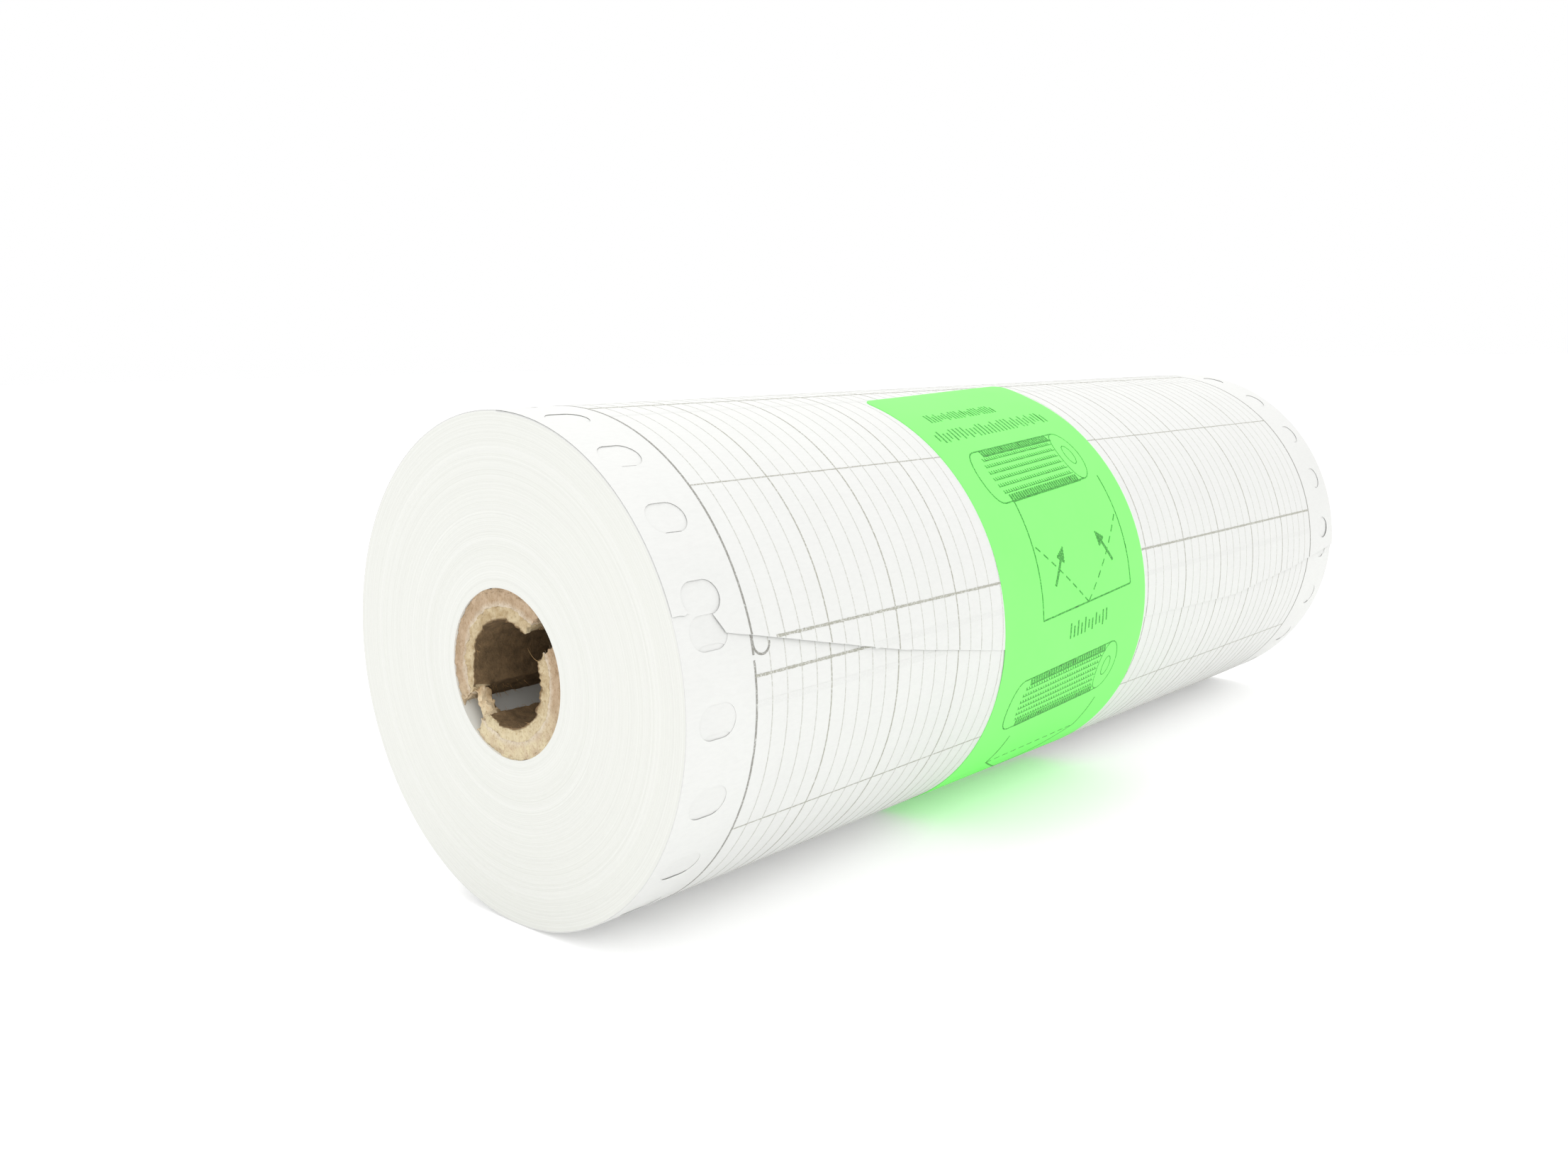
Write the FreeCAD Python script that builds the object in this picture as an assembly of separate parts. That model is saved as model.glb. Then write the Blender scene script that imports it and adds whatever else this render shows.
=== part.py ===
"""A roll of strip-chart recorder paper on a notched cardboard core, held shut by a green label.

The paper is one web. Its inner turns are one solid; the outermost full turn and the free leader are
sheets of their own, because their sprocket holes show and the leader lifts. The label's upper part is
stuck to the leader and its tail to the turn below, so the tail peels off before the leader can unwind.

Frame: millimetres, +X along the roll's axis, +Z up, origin on the axis at mid-length. The near end is
at -X. Angles are in degrees about X, from +Y towards +Z, so that 90 is the top and 180 faces -Y.
"""

import FreeCAD
import Part

import math
import os

V = FreeCAD.Vector
ORIGIN = V(0, 0, 0)
AXIS = V(1, 0, 0)

# The paper web. A sheet is drawn at twice the paper's real 0.075, so that it is a sound solid.
PAPER_WIDTH = 171.0
ROLL_DIAMETER = 61.8
SHEET_THICKNESS = 0.15

# Sprocket holes: slots in the near margin and round holes in the far one.
HOLE_PITCH = 9.525
HOLE_INSET = 4.55
SLOT_LENGTH = 5.5
SLOT_WIDTH = 3.9
ROUND_HOLE_DIAMETER = 3.9
FIRST_HOLE_ANGLE = 158.2
HOLE_EDGE_MARGIN = 0.3

# The leader's leading edge starts as a tear that runs into the first slot's lower side by a depth, ends
# just past the slot's middle, and slants down to the cut edge.
TEAR_DEPTH = 0.5
TEAR_END = 5.3
TEAR_SLANT = 1.6
TEAR_FOOT_ANGLE = 165.9

# The cut edge, from the tear on: (share of the paper's width from the near end, angle on the roll).
LEADING_EDGE = [
    (0.062, 167.5),
    (0.136, 173.0),
    (0.209, 178.3),
    (0.346, 186.0),
    (0.628, 189.1),
    (0.758, 190.3),
    (0.893, 186.9),
    (1.0, 182.6),
]

# The leader leaves the roll at the hinge angle. Its blank reaches past the lowest point of the edge.
LEADER_HINGE_ANGLE = 92.0
LEADER_BLANK_ANGLE = 210.0
LEADER_GAP = 0.2

# The cardboard core, from its bore outwards.
BORE_DIAMETER = 13.0
INNER_PLY = 0.4
INNER_BOARD = 1.2
OUTER_BOARD = 1.8
OUTER_PLY = 0.4
CORE_RECESS = 0.5
NOTCH_WIDTH = 4.0
NOTCH_DEPTH = 12.7
NOTCH_ANGLE = 142.0

# The tape that fastens the web's inner end to the core.
TAPE_LENGTH = 120.0
TAPE_WIDTH = 12.0
TAPE_THICKNESS = 0.06
TAPE_ANGLE = 60.0

# The label.
LABEL_WIDTH = 38.1
LABEL_LENGTH = 82.5
LABEL_THICKNESS = 0.12
LABEL_LEFT = 57.8
LABEL_TOP_ANGLE = 103.0
LABEL_FOLD_ANGLE = 191.0
LABEL_FOLD_GAP = 0.3
LABEL_CORNER = 2.0
GLUE_GAP = 0.03

# Cutting tools start and end at these shares of the radius that they cut through.
TOOL_START = 0.8
TOOL_END = 1.2
# How near a place an edge must lie to be picked.
PICK_RANGE = 0.2

HALF = PAPER_WIDTH / 2
CORE_END = HALF - CORE_RECESS
ROLL_RADIUS = ROLL_DIAMETER / 2
WOUND_RADIUS = ROLL_RADIUS - SHEET_THICKNESS
LEADER_INNER = ROLL_RADIUS + LEADER_GAP
LEADER_OUTER = LEADER_INNER + SHEET_THICKNESS
LABEL_INNER = LEADER_OUTER + GLUE_GAP
LABEL_OUTER = LABEL_INNER + LABEL_THICKNESS
BORE_RADIUS = BORE_DIAMETER / 2
INNER_BOARD_RADIUS = BORE_RADIUS + INNER_PLY
OUTER_BOARD_RADIUS = INNER_BOARD_RADIUS + INNER_BOARD
OUTER_PLY_RADIUS = OUTER_BOARD_RADIUS + OUTER_BOARD
CORE_RADIUS = OUTER_PLY_RADIUS + OUTER_PLY
HOLE_STEP = math.degrees(HOLE_PITCH / ROLL_RADIUS)
HOLES_IN_A_TURN = int(360 / HOLE_STEP)
TEAR_ANGLE = FIRST_HOLE_ANGLE + math.degrees((SLOT_WIDTH / 2 - TEAR_DEPTH) / ROLL_RADIUS)
LABEL_LOW = -HALF + LABEL_LEFT
LABEL_END_ANGLE = LABEL_TOP_ANGLE + math.degrees(LABEL_LENGTH / LABEL_INNER)


def ring(x_low, x_high, r_inner, r_outer, start=0.0, sweep=360.0):
    """A tube about the X axis, or the sector of one that starts at an angle."""
    corners = [(x_low, r_inner), (x_high, r_inner), (x_high, r_outer), (x_low, r_outer)]
    points = [V(x, r, 0) for x, r in corners]
    profile = Part.Face(Part.makePolygon(points + points[:1]))
    profile.rotate(ORIGIN, AXIS, start)
    return profile.revolve(ORIGIN, AXIS, sweep)


def tear_line():
    """The leading edge from the near end through the torn slot: (x, angle on the roll)."""
    tear_x = -HALF + TEAR_END
    return [(-HALF, TEAR_ANGLE), (tear_x, TEAR_ANGLE), (tear_x + TEAR_SLANT, TEAR_FOOT_ANGLE)]


def cut_line():
    """The rest of the leading edge, from the tear to the far end: (x, angle on the roll)."""
    points = [(-HALF + share * PAPER_WIDTH, angle) for share, angle in LEADING_EDGE]
    return [tear_line()[-1], *points]


def edge_angle(x):
    """The leading edge's angle at x, on straight runs between its points."""
    points = tear_line() + cut_line()[1:]
    for (low, a), (high, b) in zip(points, points[1:]):
        if low <= x <= high:
            return a + (b - a) * (x - low) / (high - low)
    raise ValueError("x is off the sheet")


def seen_square_on(x, angle):
    """The point of the leader at x and an angle, seen along Y."""
    return V(x, 0, LEADER_INNER * math.sin(math.radians(angle)))


def past_leading_edge():
    """The space beyond the leading edge, as a block seen square on along Y."""
    reach = LEADER_OUTER * TOOL_END
    tear = [seen_square_on(x, angle) for x, angle in tear_line()]
    cut = [seen_square_on(x, angle) for x, angle in cut_line()]
    edge = Part.BSplineCurve()
    edge.interpolate(cut)
    corners = [
        cut[-1],
        V(HALF + reach, 0, cut[-1].z),
        V(HALF + reach, 0, -reach),
        V(-HALF - reach, 0, -reach),
        V(-HALF - reach, 0, tear[0].z),
        *tear,
    ]
    sides = [Part.makeLine(a, b) for a, b in zip(corners, corners[1:])]
    return Part.Face(Part.Wire([edge.toShape(), *sides])).extrude(V(0, -reach, 0))


def punch(x, angle, length, width):
    """A radial punch at x: round, or a slot along X where the length exceeds the width."""
    r = width / 2
    base = ROLL_RADIUS * TOOL_START
    height = ROLL_RADIUS * (TOOL_END - TOOL_START)
    straight = (length - width) / 2
    if straight <= 0:
        tool = Part.makeCylinder(r, height, V(x, base, 0), V(0, 1, 0))
    else:
        a = V(x - straight, base, r)
        b = V(x + straight, base, r)
        c = V(x + straight, base, -r)
        d = V(x - straight, base, -r)
        outline = [
            Part.makeLine(a, b),
            Part.Arc(b, V(x + straight + r, base, 0), c).toShape(),
            Part.makeLine(c, d),
            Part.Arc(d, V(x - straight - r, base, 0), a).toShape(),
        ]
        tool = Part.Face(Part.Wire(outline)).extrude(V(0, height, 0))
    tool.rotate(ORIGIN, AXIS, angle)
    return tool


def hole_rows():
    """Each margin's row of holes: its place along X, and the holes' length and width."""
    slots = (-HALF + HOLE_INSET, SLOT_LENGTH, SLOT_WIDTH)
    rounds = (HALF - HOLE_INSET, ROUND_HOLE_DIAMETER, ROUND_HOLE_DIAMETER)
    return [slots, rounds]


def leader_punches():
    """The leader's holes, clear of its root and of the leading edge, save the one torn open."""
    tools = []
    for x, length, width in hole_rows():
        half_hole = math.degrees((width / 2 + HOLE_EDGE_MARGIN) / ROLL_RADIUS)
        angle = FIRST_HOLE_ANGLE
        while angle + HOLE_STEP + half_hole < edge_angle(x):
            angle += HOLE_STEP
        while angle - half_hole > LEADER_HINGE_ANGLE:
            tools.append(punch(x, angle, length, width))
            angle -= HOLE_STEP
    return tools


def turn_punches():
    """The full turn's holes, which carry on from the leader's round the back of the roll."""
    first = FIRST_HOLE_ANGLE
    while first > LEADER_HINGE_ANGLE:
        first -= HOLE_STEP
    return [
        punch(x, first - k * HOLE_STEP, length, width)
        for x, length, width in hole_rows()
        for k in range(HOLES_IN_A_TURN)
    ]


def leader():
    """The free end of the web, from the line at which it leaves the roll."""
    sweep = LEADER_BLANK_ANGLE - LEADER_HINGE_ANGLE
    sheet = ring(-HALF, HALF, LEADER_INNER, LEADER_OUTER, LEADER_HINGE_ANGLE, sweep)
    return sheet.cut([past_leading_edge(), *leader_punches()])


def wound_web(tape):
    """The inner turns of the web, round the core and the tape on it."""
    return ring(-HALF, HALF, CORE_RADIUS, WOUND_RADIUS).cut(tape)


def starter_tape():
    """The strip of tape on the core's outside."""
    sweep = math.degrees(TAPE_WIDTH / CORE_RADIUS)
    outside = CORE_RADIUS + TAPE_THICKNESS
    return ring(-TAPE_LENGTH / 2, TAPE_LENGTH / 2, CORE_RADIUS, outside, TAPE_ANGLE, sweep)


def notches():
    """The drive notches' space: a slot right across the core at each of its ends."""
    reach = CORE_RADIUS * TOOL_END
    length = NOTCH_DEPTH + CORE_RECESS
    slots = []
    for x in (-HALF, HALF - length):
        slot = Part.makeBox(length, 2 * reach, NOTCH_WIDTH, V(x, -reach, -NOTCH_WIDTH / 2))
        slot.rotate(ORIGIN, AXIS, NOTCH_ANGLE)
        slots.append(slot)
    return slots


def core_ply(r_inner, r_outer):
    """One ply of the core, notched at both ends."""
    return ring(-CORE_END, CORE_END, r_inner, r_outer).cut(notches())


def label_piece(start, end, rounded_angle):
    """A stretch of the label, with its two corners at one angle rounded."""
    piece = ring(LABEL_LOW, LABEL_LOW + LABEL_WIDTH, LABEL_INNER, LABEL_OUTER, start, end - start)
    across = V(0, math.cos(math.radians(rounded_angle)), math.sin(math.radians(rounded_angle)))
    corners = [
        edge
        for edge in piece.Edges
        if edge.Length < 2 * LABEL_THICKNESS
        and edge.CenterOfMass.normalize().dot(across) > 0
        and abs(edge.CenterOfMass.cross(across).x) < PICK_RANGE
    ]
    return piece.makeFillet(LABEL_CORNER, corners)


def main():
    tape = starter_tape()
    fold_gap = math.degrees(LABEL_FOLD_GAP / LABEL_INNER)
    nodes = {
        "core_inner_ply": core_ply(BORE_RADIUS, INNER_BOARD_RADIUS),
        "core_inner_board": core_ply(INNER_BOARD_RADIUS, OUTER_BOARD_RADIUS),
        "core_outer_board": core_ply(OUTER_BOARD_RADIUS, OUTER_PLY_RADIUS),
        "core_outer_ply": core_ply(OUTER_PLY_RADIUS, CORE_RADIUS),
        "starter_tape": tape,
        "wound_web": wound_web(tape),
        "outer_turn": ring(-HALF, HALF, WOUND_RADIUS, ROLL_RADIUS).cut(turn_punches()),
        "leader": leader(),
        "label_head": label_piece(LABEL_TOP_ANGLE, LABEL_FOLD_ANGLE - fold_gap, LABEL_TOP_ANGLE),
        "label_tail": label_piece(LABEL_FOLD_ANGLE, LABEL_END_ANGLE, LABEL_END_ANGLE),
    }
    os.makedirs("parts", exist_ok=True)
    for name, shape in nodes.items():
        print(name, len(shape.Solids), shape.isValid(), round(shape.Volume, 2), shape.BoundBox)
        shape.exportStep(os.path.join("parts", name + ".step"))


main()
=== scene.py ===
"""The looks of a chart recorder paper roll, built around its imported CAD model.

Angles are in degrees about X, from +Y towards +Z: 90 is the roll's top and 180 faces -Y. The web is a
spiral, so its angles are unwrapped: they fall from the leading edge back over the top and round the
roll, and each turn down is 360 less.
"""

import math
import random

import bmesh
import bpy
import numpy as np
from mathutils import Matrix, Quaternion, Vector, noise
from mathutils.geometry import delaunay_2d_cdt


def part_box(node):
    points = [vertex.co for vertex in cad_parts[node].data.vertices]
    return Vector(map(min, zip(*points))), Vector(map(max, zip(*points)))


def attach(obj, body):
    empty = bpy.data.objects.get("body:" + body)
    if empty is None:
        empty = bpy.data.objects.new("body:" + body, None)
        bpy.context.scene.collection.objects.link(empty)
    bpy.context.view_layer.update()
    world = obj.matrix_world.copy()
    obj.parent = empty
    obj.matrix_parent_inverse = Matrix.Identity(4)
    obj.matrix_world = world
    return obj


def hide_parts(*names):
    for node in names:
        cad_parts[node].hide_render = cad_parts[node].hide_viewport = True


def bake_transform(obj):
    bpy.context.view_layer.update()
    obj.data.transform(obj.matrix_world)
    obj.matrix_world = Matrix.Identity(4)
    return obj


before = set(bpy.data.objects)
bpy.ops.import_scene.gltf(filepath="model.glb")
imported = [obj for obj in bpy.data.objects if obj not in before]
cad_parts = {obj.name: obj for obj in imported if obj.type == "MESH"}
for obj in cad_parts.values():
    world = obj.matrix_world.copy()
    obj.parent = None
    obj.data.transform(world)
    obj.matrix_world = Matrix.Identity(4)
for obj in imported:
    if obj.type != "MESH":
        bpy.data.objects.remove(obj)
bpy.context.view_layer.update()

MM = 0.001

# Blender's vector noise takes its seed from the clock unless it is given one.
SEED = 11
dice = random.Random(SEED)
noise.seed_set(SEED)

# The roll, from the frame: its outside, the core's, and the outsides of the two inner plies.
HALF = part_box("outer_turn")[1].x
ROLL_RADIUS = -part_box("outer_turn")[0].z
CORE_RADIUS = -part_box("core_outer_ply")[0].z
CORE_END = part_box("core_outer_ply")[1].x
LINER_RADIUS = -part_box("core_inner_ply")[0].z
GLUE_RADIUS = -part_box("core_inner_board")[0].z
INNER_PLY = 0.4 * MM
BORE_RADIUS = LINER_RADIUS - INNER_PLY

# The length of one degree of the roll's surface.
ARC = math.radians(1) * ROLL_RADIUS

# The web: how far a turn stands out from the one before, how thick a sheet is, and how much closer
# than that the hidden turns lie, so that a hole is only one sheet deep.
LAYER = 0.1 * MM
SHEET = 0.04 * MM
TUCK = 0.05 * MM
ROOT_ANGLE = 92.0
REFERENCE_ANGLE = 168.8

# Sprocket holes: their pitch along the web, the first one's distance from the printed reference line,
# and for each row its place along X and a hole's length and width.
HOLE_PITCH = 9.525 * MM
FIRST_HOLE = 5.73 * MM
HOLE_INSET = 4.55 * MM
SLOT = (-HALF + HOLE_INSET, 5.5 * MM, 3.9 * MM)
ROUND_HOLE = (HALF - HOLE_INSET, 3.9 * MM, 3.9 * MM)
HOLES_ALONG_WEB = range(-3, 90)

# The inks, by their place in a printed piece's materials.
HEAVY, MEDIUM, LIGHT, GHOST = range(4)

# The printed chart. Its ink stands proud of the sheet, less where it only shows through, over a gap
# that keeps the two surfaces apart.
CHART_START = -HALF + 10.5 * MM
DIVISION = 2.5 * MM
DIVISIONS = 60
CHART_END = CHART_START + DIVISIONS * DIVISION
INK_LIFT = 0.02 * MM
INK_GAP = 0.004 * MM
GHOST_SHARE = 0.25

# The chart's division lines: (every how many divisions, width, ink). The first that fits is drawn.
DIVISION_LINES = [
    (DIVISIONS, 0.27 * MM, HEAVY),
    (10, 0.20 * MM, MEDIUM),
    (5, 0.18 * MM, MEDIUM),
    (1, 0.11 * MM, LIGHT),
]

# The lines across the chart, numbered back from the reference line: (width, length of one rough dash)
# for the even ones and the odd ones. Lines of the turn below show through as wide ghosts.
TIME_LINE_PITCH = 19.05 * MM
TIME_LINES = [(0.34 * MM, 0.32 * MM), (0.15 * MM, 0.5 * MM)]
GHOST_WIDTH = 0.8 * MM

# A plain zero beside the margin line on the turn below the leader, and the break in that line.
NUMERAL_TOP = -195.0
NUMERAL_BOTTOM = -188.3
NUMERAL_GAP = (-188.5, -187.4)
NUMERAL_X = (CHART_START + 0.13 * MM, CHART_START + 2.7 * MM)
NUMERAL_WIDTH = 0.26 * MM

# The leading edge: (place along X from the near end in mm, angle), first the torn part, then the cut.
TEAR = [(0.0, 160.9), (5.3, 160.9), (6.9, 165.9)]
CUT = [
    (6.9, 165.9),
    (10.6, 167.5),
    (23.3, 173.0),
    (35.7, 178.3),
    (47.6, 182.2),
    (59.2, 186.0),
    (107.4, 189.1),
    (129.6, 190.3),
    (152.7, 186.9),
    (171.0, 182.6),
]

# How high the leader's free edge stands: (place along X from the near end, height), in mm. The height
# falls away from the edge, by a factor of e in LIFT_LENGTH.
LIFT = [
    (0.0, 0.03),
    (8.0, 0.10),
    (16.0, 0.34),
    (27.0, 0.30),
    (45.0, 0.10),
    (57.0, 0.0),
    (99.0, 0.0),
    (125.0, 0.12),
    (171.0, 0.2),
]
LIFT_LENGTH = 4.5

# The label: where its left side crosses its mid height, its size, how far its sides and its rows sit
# from square, the seam between its two pieces, and two angles towards its tail, which the label is not bent
# at.
LABEL_LEFT = -HALF + 58.6 * MM
LABEL_TOP_ANGLE = 103.0
LABEL_WIDTH = 38.1 * MM
LABEL_LENGTH = 82.5 * MM
LABEL_CORNER = 1.6 * MM
LABEL_SKEW = math.radians(3.2)
LABEL_ROW_TILT = math.radians(5.0)
LABEL_SEAM_ANGLE = 150.0
LABEL_BEND = (190.6, 210.0)
LABEL_RISE = 0.17 * MM
LABEL_THICKNESS = 0.1 * MM

# The drive notches, cut right across the core at each end, down to NOTCH_FLOOR.
NOTCH_ANGLE = 142.0
NOTCH_WIDTH = 4.0 * MM
NOTCH_DEPTH = 12.7 * MM
NOTCH_FLOOR = CORE_END - NOTCH_DEPTH

# The wound body: the turns it stands for, and the rings and steps round that its ends are made of.
TURNS = 270
RINGS = 236
SEGMENTS = 144

# The stage and the camera.
FLOOR_SIZE = 8.0
FLOOR_GLOW = 0.17
LIGHTS = [
    ("key", (0.20, 0.35, 0.95), 0.9, 4.6),
    ("fill", (-0.45, -0.55, 0.6), 0.7, 1.5),
]
EYE = (-0.1799, -0.13155, 0.03614)
AHEAD = (0.72637, 0.66725, -0.16480)
CAMERA_ROLL = math.radians(-1.187)
LENS = 31.73


# ---------------------------------------------------------------- geometry of the roll


def web_radius(angle):
    """The web's outer radius at an unwrapped angle: the roll's own where the last turn meets the floor."""
    return ROLL_RADIUS + LAYER * (angle + 90) / 360


def web_angle(s):
    """The unwrapped angle at a distance back along the web from the printed reference line."""
    start = web_radius(REFERENCE_ANGLE)
    loss = LAYER / (4 * math.pi)
    return REFERENCE_ANGLE - math.degrees((start - math.sqrt(start**2 - 4 * loss * s)) / (2 * loss))


def on_roll(x, angle, radius):
    """The point at a place along X, an angle and a radius."""
    a = math.radians(angle)
    return (x, radius * math.cos(a), radius * math.sin(a))


def smooth(t):
    """An even rise from 0 to 1, held at both ends."""
    t = min(max(t, 0.0), 1.0)
    return t * t * (3 - 2 * t)


def between(points, x):
    """The value at x of a line through (x, value) points."""
    return float(np.interp(x, [p[0] for p in points], [p[1] for p in points]))


def edge_angle(x):
    """The leading edge's angle at a place along X."""
    return between(TEAR + CUT[1:], (x + HALF) / MM)


def leader_lift(x, angle):
    """How far the leader's free edge stands off the turn below. The label holds it down."""
    height = between(LIFT, (x + HALF) / MM)
    back = (edge_angle(x) - angle) * ARC / MM
    return height * MM * math.exp(-max(back, 0) / LIFT_LENGTH)


def leader_radius(x, angle):
    """The leader's outer radius at a place."""
    return web_radius(angle) + leader_lift(x, angle)


def turn_radius(x, angle):
    """The last full turn's outer radius, which is the same all along X."""
    return web_radius(angle)


def label_radius(x, angle):
    """The label's outer radius: it settles beyond the leading edge, and one top corner has lifted."""
    step = smooth((angle - 188) / 12) * 0.07 * MM
    corner = smooth((x - LABEL_LEFT) / LABEL_WIDTH) * smooth((112 - angle) / 10) * 0.25 * MM
    return ROLL_RADIUS + LABEL_RISE - step + corner


# ---------------------------------------------------------------- mesh making


def new_piece(name, points, faces, materials, sharp=35):
    """A new object, with its doubled points merged and its edges sharp above an angle in degrees."""
    mesh = bpy.data.meshes.new(name)
    mesh.from_pydata([tuple(p) for p in points], [], faces)
    work = bmesh.new()
    work.from_mesh(mesh)
    bmesh.ops.remove_doubles(work, verts=work.verts, dist=1e-8)
    bmesh.ops.recalc_face_normals(work, faces=work.faces)
    work.to_mesh(mesh)
    work.free()
    mesh.shade_smooth()
    mesh.set_sharp_from_angle(angle=math.radians(sharp))
    piece = bpy.data.objects.new(name, mesh)
    bpy.context.scene.collection.objects.link(piece)
    for material in materials:
        mesh.materials.append(material)
    return piece


def inside(loop, points):
    """Which points lie inside a closed loop."""
    px, py = points[:, 0][:, None], points[:, 1][:, None]
    a = np.array(loop)
    b = np.roll(a, -1, axis=0)
    crosses = (a[:, 1] > py) != (b[:, 1] > py)
    rise = np.where(b[:, 1] == a[:, 1], 1e-30, b[:, 1] - a[:, 1])
    at = a[:, 0] + (py - a[:, 1]) * (b[:, 0] - a[:, 0]) / rise
    return (crosses & (px < at)).sum(1) % 2 == 1


def grid_inside(outline, rim, x_step, angle_step):
    """An even grid inside an outline, in mm, with no point close to those of the rim."""
    low = np.min(outline, axis=0)
    high = np.max(outline, axis=0)
    columns = np.arange(low[0] + x_step, high[0] - x_step / 3, x_step)
    first = math.ceil(low[1] * MM / ARC / angle_step)
    last = math.floor(high[1] * MM / ARC / angle_step)
    rows = np.arange(first, last + 1) * angle_step * ARC / MM
    grid = np.array([(x, y) for y in rows for x in columns])
    keep = inside(outline, grid)
    batch, least_gap = 500, 0.3
    for start in range(0, len(grid), batch):
        part = grid[start : start + batch]
        gap = np.linalg.norm(part[:, None] - rim[None], axis=2).min(1)
        keep[start : start + batch] &= gap > least_gap
    return grid[keep]


def joined_loops(loops):
    """The points of closed loops in one list, and the edges between them."""
    points, edges = [], []
    for loop in loops:
        n, base = len(loop), len(points)
        points += loop
        edges += [(base + i, base + (i + 1) % n) for i in range(n)]
    return points, edges


def cut_sheet(outline, holes, x_step, angle_step, seam=None):
    """A flat outline with holes, as its points, triangles and the angle of each triangle's middle.

    Points are (x, angle). No triangle crosses the seam, which is an angle. The step along X is in mm.
    """
    loops = [[(x / MM, a * ARC / MM) for x, a in loop] for loop in [outline, *holes]]
    points, edges = joined_loops(loops)
    rim = np.array(points)
    if seam is not None:
        y = seam * ARC / MM
        edges.append((len(points), len(points) + 1))
        across = [x for x, _ in loops[0]]
        points += [(min(across) - 1, y), (max(across) + 1, y)]
    points += [tuple(p) for p in grid_inside(loops[0], rim, x_step, angle_step)]
    made = delaunay_2d_cdt([Vector(p) for p in points], edges, [], 0, 1e-6)
    flat = np.array([tuple(p) for p in made[0]])
    triangles = np.array(made[2])
    centres = flat[triangles].mean(1)
    solid = inside(loops[0], centres)
    for loop in loops[1:]:
        solid &= ~inside(loop, centres)
    return [(x * MM, y * MM / ARC) for x, y in flat], triangles[solid], centres[solid][:, 1] * MM / ARC


def thick_sheet(name, flat, triangles, radius, thickness, materials):
    """A sheet of some thickness, from flat triangles laid at a radius that depends on the place."""
    used = sorted(set(triangles.ravel().tolist()))
    index = {v: i for i, v in enumerate(used)}
    n = len(used)
    outer = [on_roll(*flat[v], radius(*flat[v])) for v in used]
    inner = [on_roll(*flat[v], radius(*flat[v]) - thickness) for v in used]
    faces, rim = [], {}
    for triangle in triangles.tolist():
        a, b, c = (index[v] for v in triangle)
        faces += [(a, c, b), (a + n, b + n, c + n)]
        for edge in ((a, b), (b, c), (c, a)):
            rim[edge] = rim.get(edge[::-1]) is None or rim.pop(edge[::-1]) is None
    walls = [(a, b, b + n, a + n) for (a, b), open_edge in rim.items() if open_edge]
    return new_piece(name, outer + inner, faces + walls, materials)


def hole_loop(x, angle, length, width):
    """A hole's outline: round, or a slot along X where the length exceeds the width."""
    straight = (length - width) / 2
    corners = 32
    loop = []
    for i in range(corners):
        a = 2 * math.pi * (i + 0.5) / corners
        across = math.copysign(straight, math.cos(a)) + width / 2 * math.cos(a)
        loop.append((x + across, angle + math.degrees(width / 2 * math.sin(a) / ROLL_RADIUS)))
    return loop


def hole_loops(low, high):
    """The outlines of all the holes whose centres are between two angles."""
    loops = []
    for k in HOLES_ALONG_WEB:
        angle = web_angle(FIRST_HOLE + k * HOLE_PITCH)
        if low < angle < high:
            loops += [hole_loop(x, angle, length, width) for x, length, width in (SLOT, ROUND_HOLE)]
    return loops


def tube_faces(base, sides, count):
    """The faces of a closed tube whose points start at base: count rings, each with so many sides."""
    faces = []
    for i in range(count - 1):
        ring = base + sides * i
        for j in range(sides):
            a, b = ring + j, ring + (j + 1) % sides
            faces.append((a, b, b + sides, a + sides))
    last = base + sides * (count - 1)
    faces.append(tuple(base + j for j in reversed(range(sides))))
    faces.append(tuple(last + j for j in range(sides)))
    return faces


def strip_points(path, width, radius, height):
    """The corners of a strip all along its path: at each point two above, then two below."""
    flat = np.array([(x, a * ARC) for x, a in path])
    ways = np.gradient(flat, axis=0)
    ways /= np.linalg.norm(ways, axis=1)[:, None]
    points = []
    for (x, y), (dx, dy) in zip(flat, ways):
        for side, level in ((1, 1), (-1, 1), (-1, 0), (1, 0)):
            px = x - side * dy * width / 2
            angle = (y + side * dx * width / 2) / ARC
            points.append(on_roll(px, angle, radius(px, angle) + INK_GAP + height * level))
    return points


def strips(paths, radius, name, materials):
    """Flat strips of ink. A path is ([(x, angle), ...], width, material index)."""
    points, faces, index = [], [], []
    for path, width, material in paths:
        height = INK_LIFT * (GHOST_SHARE if material == GHOST else 1)
        sides = tube_faces(len(points), 4, len(path))
        points += strip_points(path, width, radius, height)
        faces += sides
        index += [material] * len(sides)
    piece = new_piece(name, points, faces, materials)
    piece.data.polygons.foreach_set("material_index", index)
    return piece


def dots(path, width, length, material):
    """A rough printed line as short strips of uneven width along a straight path."""
    (x0, a0), (x1, a1) = path
    count = int(abs(x1 - x0) / length)
    made = []
    for i in range(count):
        t0, t1 = (i + 0.06) / count, (i + 0.94) / count
        wide = width * dice.uniform(0.72, 1.12)
        slip = dice.uniform(-0.03, 0.03)
        ends = [(x0 + (x1 - x0) * t, a0 + (a1 - a0) * t + slip) for t in (t0, t1)]
        made.append((ends, wide, material))
    return made


# ---------------------------------------------------------------- materials


def shader(name, base, roughness):
    """A new material, its node tree and its surface shader."""
    material = bpy.data.materials.new(name)
    material.use_nodes = True
    tree = material.node_tree
    surface = tree.nodes["Principled BSDF"]
    surface.inputs["Base Color"].default_value = (*base, 1)
    surface.inputs["Roughness"].default_value = roughness
    surface.inputs["Specular IOR Level"].default_value = 0.25
    return material, tree, surface


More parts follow.
